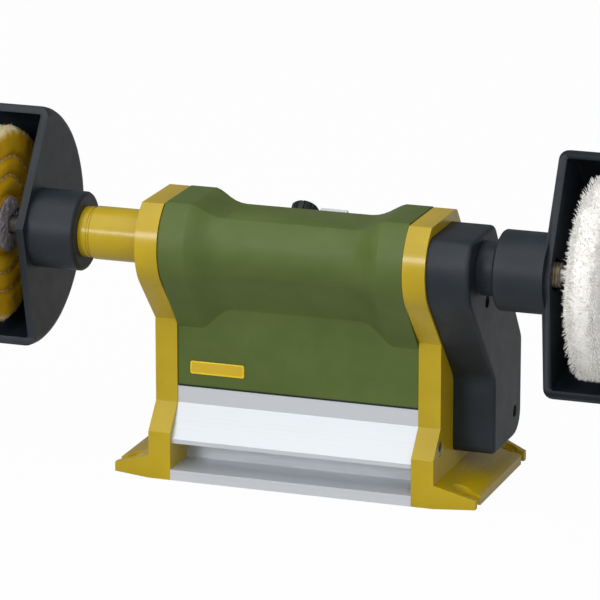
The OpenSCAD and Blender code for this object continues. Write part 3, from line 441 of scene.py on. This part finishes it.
# %% [markdown]
# ## Castings, covers and hoods
# Six pieces get soft edges. The painted castings are the roundest, as the paint
# rounds them further. The thin mouldings are sharper, and the green cover is the
# sharpest. One radius for all would be quicker, but it would make the hoods look
# like castings. The hoods take a wider angle as the limit, so that the facets of
# their round drums aren't taken for edges.

# %% Cover, castings, belt cover and hoods
BELT_COVER_FACE = 96 * MM
COVER_ENDS = (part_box("body_cover")[0][0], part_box("body_cover")[1][0])
BELT_COVER_ENDS = (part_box("belt_cover")[0][0], BELT_COVER_FACE)
softened("left_pillar", "left_casting", yellow_paint, 0.9 * MM)
softened("right_pillar", "right_casting", yellow_paint, 0.9 * MM)
softened("body_cover", "green_cover", green_grain, 0.4 * MM, cover_edge, COVER_ENDS)
softened("belt_cover", "black_belt_cover", black_grain, 0.6 * MM, ends=BELT_COVER_ENDS)
softened("left_guard", "left_hood", black_grain, 0.7 * MM, by_angle(35), body="left_hood")
softened("right_guard", "right_hood", black_grain, 0.7 * MM, by_angle(35), body="right_hood")

# %% [markdown]
# ## Turned shapes
# A wheel is a body of revolution that has been handled. It could be sculpted from a
# cylinder, but then its rings would not be round. It starts as a profile that is
# spun round the spindle, and only then are its points pushed about with noise, so
# that no two places are alike.


# %% Turning helpers
def turned(profile, steps):
    """A closed chain of (radius, x) points in millimetres, spun round the spindle"""
    bm = bmesh.new()
    chain = [bm.verts.new((x * MM, 0, SPINDLE_Z + r * MM)) for r, x in profile]
    edges = [bm.edges.new(pair) for pair in zip(chain, chain[1:] + chain[:1])]
    bmesh.ops.spin(bm, geom=chain + edges, cent=(0, 0, SPINDLE_Z), axis=(1, 0, 0),
        angle=2 * math.pi, steps=steps, use_merge=True, use_duplicate=False)
    bmesh.ops.remove_doubles(bm, verts=bm.verts, dist=1e-6)
    bmesh.ops.recalc_face_normals(bm, faces=bm.faces)
    return bm


def polar(point):
    """Radius in millimetres and angle of a point round the spindle"""
    up = point.z - SPINDLE_Z
    return math.hypot(point.y, up) / MM, math.atan2(point.y, up)


def spread(point, radius, x):
    """The same point moved out or in to another radius, and along to another x"""
    angle = polar(point)[1]
    return Vector((x, radius * MM * math.sin(angle),
        SPINDLE_Z + radius * MM * math.cos(angle)))


def part_way(value, start, length):
    """How far a value is along a stretch: 0 before it, 1 past it"""
    return max(0.0, min(1.0, (value - start) / length))


print("30 mm above the spindle:", polar(Vector((0, 0, SPINDLE_Z + 30 * MM))))


# %% Making a piece from a mesh in the making
def piece(bm, name, body, finish, slot, *stands_for, smooth=True):
    mesh = bpy.data.meshes.new(name)
    for face in bm.faces:
        face.smooth = smooth
    bm.to_mesh(mesh)
    bm.free()
    made = bpy.data.objects.new(name, mesh)
    bpy.context.scene.collection.objects.link(made)
    mesh.materials.append(finish)
    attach(made, body)
    if stands_for:
        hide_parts(*stands_for)
    print(name, len(mesh.polygons), "faces")
    return made


# %% [markdown]
# ## A bare plate
# The front panel carries a small moulded plate: a yellow rim stands round a field
# that lies a little deeper. A flat picture of it would lose the rim's light and
# shadow. The block's corners are rounded first, and then the rim and the field are
# inset from its front face, so that both follow the round corners.

# %% Plate on the front panel
plate_yellow = painted("plate_yellow", "e4c21a", "ecca28", 0.25)
plate_field = painted("plate_field", "cba81c", "d4b124", 0.45)
FRONT_WALL, REAR_WALL = 1.2, 77.3
PLATE_X, PLATE_Z = -41.9, 56.4
PLATE_W, PLATE_H, PLATE_PROUD = 28.4, 6.6, 0.7
CORNER_R, EDGE_R, RIM_W, STEP_W, FIELD_DEEP = 1.0, 0.2, 0.55, 0.12, 0.25


def front_face(bm):
    return min(bm.faces, key=lambda face: face.calc_center_median().y)


bm = bmesh.new()
bmesh.ops.create_cube(bm, size=1)
bmesh.ops.scale(bm, verts=bm.verts, vec=(PLATE_W * MM, 2 * PLATE_PROUD * MM, PLATE_H * MM))
corners = [e for e in bm.edges if abs(e.verts[0].co.y - e.verts[1].co.y) > PLATE_PROUD * MM]
bmesh.ops.bevel(bm, geom=corners, offset=CORNER_R * MM, segments=5, profile=0.5,
    affect="EDGES", material=-1)
bmesh.ops.bevel(bm, geom=list(front_face(bm).edges), offset=EDGE_R * MM, segments=2,
    profile=0.5, affect="EDGES", material=-1)
field = front_face(bm)
bmesh.ops.inset_region(bm, faces=[field], thickness=RIM_W * MM)
bmesh.ops.inset_region(bm, faces=[field], thickness=STEP_W * MM, depth=-FIELD_DEEP * MM)
field.material_index = 1
bmesh.ops.translate(bm, verts=bm.verts, vec=(PLATE_X * MM, FRONT_WALL * MM, PLATE_Z * MM))
plate = piece(bm, "bare_plate", "housing", plate_yellow, "yellow_casting", smooth=False)
plate.data.materials.append(plate_field)

# %% [markdown]
# ## Painted shade under the cover
# The cover's skin stands on the extrusion, front and back, and the joint between
# them lies in a thin line of shade. A thin black strip paints that shade. A strip
# with a round section could be swept along, but what shows there is a dark line, so
# a flat strip is enough. It stands a quarter of a millimetre proud of both walls,
# which keeps the faces apart.

# %% Two strips of painted shade
JOINT_Z, JOINT_HALF = 46.6, 62.7
SHADE_STRIP_HIGH, SHADE_STRIP_PROUD, SHADE_STRIP_SUNK = 0.9, 0.25, 0.05
bm = bmesh.new()
for wall, outwards in ((FRONT_WALL, -1), (REAR_WALL, 1)):
    middle = wall + outwards * (SHADE_STRIP_PROUD - SHADE_STRIP_SUNK) / 2
    strip = bmesh.ops.create_cube(bm, size=1)["verts"]
    bmesh.ops.scale(bm, verts=strip, vec=(2 * JOINT_HALF * MM,
        (SHADE_STRIP_PROUD + SHADE_STRIP_SUNK) * MM, SHADE_STRIP_HIGH * MM))
    bmesh.ops.translate(bm, verts=strip, vec=(0, middle * MM, JOINT_Z * MM))
# painted shade: black strips that darken the joint where its shade falls
piece(bm, "painted_joint_shade", "housing", knob_black, "black_moulding", smooth=False)

# %% [markdown]
# ## Cotton cloth and thread
# The cloth is dyed yellow, but at the rim it is worn and bare, and shows its pale
# threads. Two materials with a hard border would look cut, so one finish fades from
# dyed to bare by the radius, with noise in it. Its weave is far too fine to model:
# two crossed waves in the bump draw it.

# %% Cotton finishes
COTTON_R = 49.0
THREAD_GAP = 0.0007
cloth = Finish("yellow_cotton_cloth", 0.95, Specular_IOR_Level=0.2)
blotch = cloth.noise(70, 4)
dyed = cloth.ramp(blotch, (0.25, "d8a30a"), (0.55, "e8b714"), (0.85, "f0c832"))
bare = cloth.ramp(blotch, (0.3, "e6d69a"), (0.7, "f2e9c4"))
uneven = cloth.math("SUBTRACT", cloth.noise(260, 3), 0.5)
wear = cloth.math("ADD", cloth.math("MULTIPLY", cloth.polar()[1], 1 / (COTTON_R * MM)),
    cloth.math("MULTIPLY", uneven, 0.16))
worn = cloth.ramp(wear, (0.925, "000000"), (0.995, "ffffff"))
cloth.colour(cloth.mixed(worn, dyed, bare))
crossing = cloth.split()
waves = [cloth.math("SINE", cloth.math("MULTIPLY", crossing[k], 2 * math.pi / THREAD_GAP))
    for k in ("Y", "Z")]
cloth.bump((cloth.math("MULTIPLY", *waves), 0.00010), (cloth.noise(900, 3), 0.00012),
    (cloth.noise(150, 3), 0.0004))

thread = Finish("stitching_thread", 0.8, Sheen_Weight=0.3)
thread.colour(thread.ramp(thread.noise(900, 2), (0.3, "cfc7b4"), (0.7, "efe9dc")))
thread.bump((thread.noise(2400, 2), 0.0001))
print("cotton finishes", cloth.material.name, thread.material.name)

# %% [markdown]
# ## The stitched cotton wheel
# It is a stack of cloth discs, sewn through in rings. The thread pulls the layers
# together, so that the cloth stands up between the rings, and outside the last ring
# the layers are loose. Each disc could be a sheet of its own, but nobody looks
# between them: one body with a groove at each ring, a rim of sharp pleats for the
# layers' edges and folds that grow towards the rim looks the same.

# %% Profile of the cotton wheel
COTTON_NEAR, COTTON_FAR = -151.7, -168.7
COTTON_MID = (COTTON_NEAR + COTTON_FAR) / 2
HUB_R, RING_STEP, RINGS = 6, 0.8, 53
PLEAT_R, PLEAT_DEEP, PLEATS = 47.6, 1.3, 11
STITCH_RINGS = (15.0, 24.5, 34.0)
COTTON_HALF, GROOVE_DEEP, GROOVE_WIDE = 8.5, 2.1, 1.7


def bell(r, centre, width):
    return math.exp(-((r - centre) / width) ** 2)


def cotton_half(r):
    """Half of the wheel's thickness at a radius: less at the hub, rings and rim"""
    half = COTTON_HALF - 0.7 * bell(r, 13, 6)
    for ring in STITCH_RINGS:
        half -= GROOVE_DEEP * bell(r, ring, GROOVE_WIDE)
    return half - 1.4 * max(0.0, (r - 44) / 5) ** 2


def cotton_profile():
    radii = [HUB_R + RING_STEP * i for i in range(RINGS)]
    near = [(r, COTTON_MID + cotton_half(r)) for r in radii]
    rim = []
    for i in range(1, 2 * PLEATS):
        s = cotton_half(PLEAT_R) * (1 - i / PLEATS)
        rim.append((COTTON_R - (PLEAT_DEEP if i % 2 else 0.0), COTTON_MID + s))
    far = [(r, COTTON_MID - cotton_half(r)) for r in reversed(radii)]
    return near + rim + far


print("cotton wheel is", round(2 * cotton_half(30), 1), "mm thick at a radius of 30 mm")

# %% Cotton wheel
TIGHT_R, TORN_R = 16, 46
PULL, FOLD, TEAR, WAVE = 0.7, 1.1, 0.9, 1.0
PLIES_PER_MM = 1.4
bm = turned(cotton_profile(), 300)
for v in bm.verts:
    r, a = polar(v.co)
    side = 1 if v.co.x > COTTON_MID * MM else -1
    loose = part_way(r, TIGHT_R, COTTON_R - TIGHT_R) ** 1.5
    pull = noise.noise(Vector((r / 7, 7 * math.sin(a), 7 * math.cos(a) + 9 * side)))
    fold = noise.noise(Vector((2.2 * math.sin(a), 2.2 * math.cos(a), 4 * side)))
    dx = side * (PULL * pull + FOLD * fold) * loose
    if r > TORN_R:
        ply = round((v.co.x / MM - COTTON_MID) * PLIES_PER_MM)
        r += TEAR * noise.noise(Vector((26 * math.sin(a), 26 * math.cos(a), ply)))
        r += WAVE * noise.noise(Vector((5 * math.sin(a), 5 * math.cos(a), ply / 4)))
    v.co = spread(v.co, r, v.co.x + dx * MM)
cotton = piece(bm, "cotton_buff", "spindle", cloth.material, "yellow_cotton", "cotton_wheel")

# %% [markdown]
# ## Many small shapes in one piece
# Stitches, loose threads and wool are hundreds or thousands of small shapes. As
# objects of their own they would choke the scene, so each kind is one mesh. An
# operator slows down as its mesh grows, and so the shapes are made in small batches
# that are then laid together.

# %% Many small pieces in one mesh
BATCH = 60


def planted(count, plant):
    """One mesh of count small shapes, each made by plant(mesh, number)"""
    field = bmesh.new()
    for start in range(0, count, BATCH):
        batch = bmesh.new()
        for i in range(start, min(start + BATCH, count)):
            plant(batch, i)
        heap = bpy.data.meshes.new("heap")
        batch.to_mesh(heap)
        batch.free()
        field.from_mesh(heap)
        bpy.data.meshes.remove(heap)
    print("planted", count, "small shapes")
    return field


# %% [markdown]
# ## Stitches
# White thread runs round the two outer rings, in and out of the cloth, and shows as
# a row of dashes on both faces. A curve with a pattern along it could carry them,
# but each dash is so short that a stretched ball, laid along its ring and turned a
# little off it, is a whole stitch. The innermost ring, at the leather's edge, is a
# groove only.

# %% Stitches on both faces
STITCH_LONG, STITCH_THICK, STITCH_UP = 4.3, 0.85, 0.2
STITCHES_PER_MM = 1.12
STITCHES = [(side, ring, i / int(ring * STITCHES_PER_MM)) for side in (1, -1)
    for ring in STITCH_RINGS[1:] for i in range(int(ring * STITCHES_PER_MM))]
random.seed(7)


def stitch(bm, i):
    side, ring, turn = STITCHES[i]
    a = 2 * math.pi * turn + random.uniform(0, 0.03)
    x = COTTON_MID + side * (cotton_half(ring) + STITCH_UP)
    spot = Matrix.Translation((x * MM, ring * MM * math.sin(a),
        SPINDLE_Z + ring * MM * math.cos(a)))
    along = Matrix.Rotation(-a + random.uniform(-0.08, 0.08), 4, "X")
    shape = spot @ along @ Matrix.Rotation(math.pi / 2, 4, "X") @ Matrix.Diagonal(
        (STITCH_THICK * MM, STITCH_THICK * MM, STITCH_LONG * MM, 1))
    ball = bmesh.ops.create_uvsphere(bm, u_segments=6, v_segments=4, radius=0.5)
    bmesh.ops.transform(bm, matrix=shape, verts=ball["verts"])


piece(planted(len(STITCHES), stitch), "cotton_buff_stitches", "spindle", thread.material,
    "yellow_cotton")

# %% [markdown]
# ## Loose threads
# Threads hang out of the worn rim. Blender's hair would draw them well, but it isn't
# a mesh and an exported model loses it. A thin three-sided cone of two steps, which
# leans over along its way, is enough for a thread, and a thicker one for a tuft of
# wool later.


# %% One tuft
def tuft(bm, root, direction, length, width, bend):
    """A thin cone of two steps that leans over along its way"""
    made = bmesh.ops.create_cone(bm, segments=3, radius1=0.5, radius2=0.28,
        depth=1.0, cap_ends=False)
    top = [v for v in made["verts"] if v.co.z > 0]
    ring = [e for e in {e for v in top for e in v.link_edges} if all(v in top for v in e.verts)]
    tip = bmesh.ops.extrude_edge_only(bm, edges=ring)["geom"]
    tip_verts = [v for v in tip if isinstance(v, bmesh.types.BMVert)]
    lean = 0.9 * bend / width
    bmesh.ops.translate(bm, verts=tip_verts, vec=(lean, 0, 0.9))
    bmesh.ops.scale(bm, verts=tip_verts, vec=(0.15, 0.15, 1),
        space=Matrix.Translation((-lean, 0, 0)))
    turn = direction.to_track_quat("Z", "X").to_matrix().to_4x4()
    shape = Matrix.Translation(root) @ turn @ Matrix.Diagonal(
        (width * MM, width * MM, length / 2 * MM, 1)) @ Matrix.Translation((0, 0, 0.5))
    bmesh.ops.transform(bm, matrix=shape, verts=made["verts"] + tip_verts)


# %% Loose threads
FRAYS, FRAY_THICK, FRAY_BEND = 260, 0.28, 0.25
AXIS = Vector((1, 0, 0))


def fray(bm, i):
    a = random.uniform(0, 2 * math.pi)
    out = Vector((0, math.sin(a), math.cos(a)))
    along = Vector((random.uniform(-0.5, 0.5), 0, 0))
    x = COTTON_MID + random.uniform(-7.5, 7.5)
    root = Vector((x * MM, 0, SPINDLE_Z)) + out * (PLEAT_R * MM)
    lean = out + along + out.cross(AXIS) * random.uniform(-0.9, 0.9)
    tuft(bm, root, lean.normalized(), random.uniform(1.5, 4.0), FRAY_THICK, FRAY_BEND)


piece(planted(FRAYS, fray), "cotton_buff_frays", "spindle", thread.material, "yellow_cotton")

# %% [markdown]
# ## The wool wheel
# A pile of soft wool hides the wheel's own shape. A bump could draw the wool, but
# the outline would stay as clean as a disc's. So there are two pieces: a body that
# is full towards the rim and lumpy all over, and on it some thousands of small
# leaning tufts, which lie outwards over the faces and stand up all round the rim.

# %% Wool finish
OUT_FROM_CENTRE = (90, 42, 260)
pile = Finish("white_wool_pile", 0.95, Sheen_Weight=0.25, Sheen_Roughness=0.6)
strands = pile.noise(1.0, 5, pile.stretched(OUT_FROM_CENTRE, source=pile.polar()[0]))
pile.colour(pile.ramp(strands, (0.25, "f0ede6"), (0.5, "f6f4f0"), (0.8, "fcfbf9")))
pile.bump((strands, 0.0005), (pile.noise(420, 4), 0.0004))
print("wool finish", pile.material.name)

# %% Wool wheel body
WOOL_NEAR, WOOL_FAR = 146.4, 168.4
WOOL_MID = (WOOL_NEAR + WOOL_FAR) / 2
WOOL_STEPS, WOOL_RIM_R = 44, 48.2
LUMP, FINE = 0.7, 0.3


def wool_half(r):
    """Half of the wool wheel's thickness: fuller towards the rim, round at its edge"""
    full = 8.3 + 1.5 * part_way(r, 14, 16)
    return full * math.sqrt(1 - 0.97 * part_way(r, 37, 11.2) ** 2.4)


reach = WOOL_RIM_R - HUB_R
radii = [HUB_R + reach * (1 - (1 - i / WOOL_STEPS) ** 1.4) for i in range(WOOL_STEPS + 1)]
profile = [(r, WOOL_MID - wool_half(r)) for r in radii]
profile += [(r, WOOL_MID + wool_half(r)) for r in reversed(radii)]
bm = turned(profile, 220)
for v in bm.verts:
    r, a = polar(v.co)
    lump = noise.noise(Vector((r / 9, 6 * math.sin(a), 6 * math.cos(a) + v.co.x / MM / 9)))
    fine = noise.noise(Vector((r / 4, 24 * math.sin(a), 24 * math.cos(a))))
    grown = part_way(r, 14, 10)
    side = 1 if v.co.x > WOOL_MID * MM else -1
    v.co = spread(v.co, r + grown * (LUMP * lump + FINE * fine) * (r / 48),
        v.co.x + side * grown * (LUMP * lump + 0.25 * fine) * MM)
wool = piece(bm, "wool_buff", "spindle", pile.material, "white_wool", "wool_wheel")

# %% Wool tufts
TUFTS = 8400
TUFT_ROOT_R = 47.3


def wool_tuft(bm, i):
    """One tuft of four stands on a face, and the others round the rim"""
    a = random.uniform(0, 2 * math.pi)
    out = Vector((0, math.sin(a), math.cos(a)))
    if i % 4 == 0:
        r = 22 + 25 * math.sqrt(random.random())
        side = random.choice((-1, 1))
        x = WOOL_MID + side * (wool_half(min(r, 47.5)) - 0.2)
        lean = out + Vector((side * (0.12 + 0.25 * max(0.0, (r - 36) / 12)), 0, 0))
    else:
        r = TUFT_ROOT_R
        x = WOOL_MID + random.uniform(-8.0, 8.0)
        lean = out + Vector(((x - WOOL_MID) / 14, 0, 0))
    lean += out.cross(AXIS) * random.uniform(-0.42, 0.42)
    lean.x += random.uniform(-0.12, 0.12)
    root = Vector((x * MM, 0, SPINDLE_Z)) + out * (r * MM)
    tuft(bm, root, lean.normalized(), random.uniform(1.4, 2.9), random.uniform(0.4, 0.75),
        random.uniform(-0.4, 0.4))


piece(planted(TUFTS, wool_tuft), "wool_buff_tufts", "spindle", pile.material, "white_wool")

# %% [markdown]
# ## Leather centres
# Each wheel is gripped between pressed leather discs. Leather creases as the taper is
# screwed in, so the disc is puckered and its edge is uneven. A bump alone would
# leave its outline round, so the creases push the points of a turned disc, and the
# bump adds only the fine crackle of the skin.

# %% Leather finish
CRACKLE_SCALE = 420
skin = Finish("pressed_leather", 0.72)
skin.colour(skin.ramp(skin.noise(160, 4), (0.3, "7d777f"), (0.55, "9b959c"),
    (0.8, "b4aeb5")))
crackle = skin.node("ShaderNodeTexVoronoi", feature="DISTANCE_TO_EDGE")
crackle.inputs["Scale"].default_value = CRACKLE_SCALE
skin.tree.links.new(skin.place, crackle.inputs["Vector"])
skin.bump((crackle.outputs["Distance"], 0.0004), (skin.noise(300, 4), 0.0006))
print("leather finish", skin.material.name)

# %% Leather discs
LEATHER_IN = 1.6
BORE_R, DISC_R, EDGE_UNEVEN, CREASE_DEEP = 4.9, 13.6, 0.9, 0.75


def leather_disc(name, face_x, side, *stands_for):
    """A disc on the wheel's face at face_x, thick towards side"""
    def top(r):
        return face_x + side * (1.6 + 1.2 * (1 - (r / DISC_R) ** 2))
    radii = [BORE_R + (DISC_R - BORE_R) * i / 16 for i in range(17)]
    profile = [(r, top(r)) for r in radii] + [(13.9, face_x + side * 0.9),
        (13.4, face_x + side * 0.1), (BORE_R, face_x + side * 0.1)]
    bm = turned(profile, 120)
    for v in bm.verts:
        r, a = polar(v.co)
        if abs(v.co.x / MM - face_x) < 0.3 or r < BORE_R + 0.2:
            continue
        spot = Vector((3.1 * math.sin(a), 3.1 * math.cos(a), r / 6 + 3 * side))
        crease = 1 - 2.4 * abs(noise.noise(spot)) - abs(noise.noise(spot * 2.3))
        edge = min(1.0, (r - 5) / 4)
        grown = r + EDGE_UNEVEN * noise.noise(spot * 0.8) * min(1.0, r / 13)
        v.co = spread(v.co, grown, v.co.x + side * CREASE_DEEP * crease * edge * MM)
    return piece(bm, name, "spindle", skin.material, "grey_leather", *stands_for)


leather_disc("cotton_leather_inner", COTTON_NEAR - LEATHER_IN, 1, "cotton_wheel_leather")
leather_disc("cotton_leather_outer", COTTON_FAR + LEATHER_IN, -1)
leather_disc("wool_leather_inner", WOOL_NEAR + LEATHER_IN, -1, "wool_wheel_leather")
leather_disc("wool_leather_outer", WOOL_FAR - LEATHER_IN, 1)

# %% [markdown]
# ## The floor
# The lathe stands on plain white. A white floor under stronger lamps would burn out
# the metal and the wool, so the whiteness comes from the floor's own colour: rays
# that come straight from the camera see it almost fully white, with a trace of the
# grey floor below that keeps the object's soft shadow. In the gloss of the black
# mouldings the same white would be too much, and so a mirrored ray sees less of it.

# %% Floor
FLOOR_GREY, FLOOR_WHITE, WHITE_IN_GLOSS = 0.5, 0.98, 0.4
floor_finish = Finish("pale_floor", 0.9)
floor_finish.shader.inputs["Base Color"].default_value = (FLOOR_GREY, FLOOR_GREY, FLOOR_GREY, 1)
ray = floor_finish.node("ShaderNodeLightPath").outputs
in_gloss = floor_finish.math("MULTIPLY", ray["Is Glossy Ray"], WHITE_IN_GLOSS)
mirrored = floor_finish.math("MAXIMUM", in_gloss, ray["Is Transmission Ray"])
seen = floor_finish.math("MAXIMUM", ray["Is Camera Ray"], mirrored)
glow = floor_finish.node("ShaderNodeEmission")
glow.inputs["Color"].default_value = (1, 1, 1, 1)
glow.inputs["Strength"].default_value = 1.0
blend = floor_finish.node("ShaderNodeMixShader")
wires = floor_finish.tree.links
wires.new(floor_finish.math("MULTIPLY", seen, FLOOR_WHITE), blend.inputs[0])
wires.new(floor_finish.shader.outputs[0], blend.inputs[1])
wires.new(glow.outputs[0], blend.inputs[2])
out = floor_finish.tree.nodes["Material Output"]
wires.new(blend.outputs[0], out.inputs["Surface"])
bpy.ops.mesh.primitive_plane_add(size=30)
floor = bpy.context.object
floor.name = "floor"
floor.data.materials.append(floor_finish.material)
print("floor", floor.dimensions.x, "m wide")

# %% [markdown]
# ## World and lamps
# A studio lights such a product from a large soft box above, with a smaller one in
# front and a fill at the side. The world could light it all alone, but then nothing
# would have a highlight. Here it gives a dim even light, and shows white only to
# the camera. The front box stands where the flat and round faces of the hubs, the
# neck and the castings mirror it towards the camera.

# %% World and lamps
WORLD_LIGHT, WORLD_SEEN = 0.27, 1.0
AIM = (0, 0, 0.08)
world = bpy.data.worlds.new("studio")
world.use_nodes = True
bpy.context.scene.world = world
tree = world.node_tree
path = tree.nodes.new("ShaderNodeLightPath")
strength = tree.nodes.new("ShaderNodeMapRange")
strength.inputs["To Min"].default_value = WORLD_LIGHT
strength.inputs["To Max"].default_value = WORLD_SEEN
tree.links.new(path.outputs["Is Camera Ray"], strength.inputs["Value"])
sky = tree.nodes["Background"]
sky.inputs["Color"].default_value = (1, 1, 1, 1)
tree.links.new(strength.outputs["Result"], sky.inputs["Strength"])


def lamp(name, place, size, watts):
    """A rectangular soft box at a place, turned to the lathe"""
    data = bpy.data.lights.new(name, "AREA")
    data.shape = "RECTANGLE"
    data.size, data.size_y = size
    data.energy = watts
    made = bpy.data.objects.new(name, data)
    made.location = place
    made.rotation_euler = (Vector(AIM) - Vector(place)).to_track_quat("-Z", "Y").to_euler()
    bpy.context.scene.collection.objects.link(made)
    print(name, watts, "W")


lamp("overhead", (-0.30, -0.60, 1.30), (2.0, 1.4), 14.5)
lamp("front_box", (-0.68, -1.85, 0.74), (0.60, 0.36), 12.5)
lamp("right_fill", (1.2, -1.6, 0.9), (0.9, 0.9), 9.0)
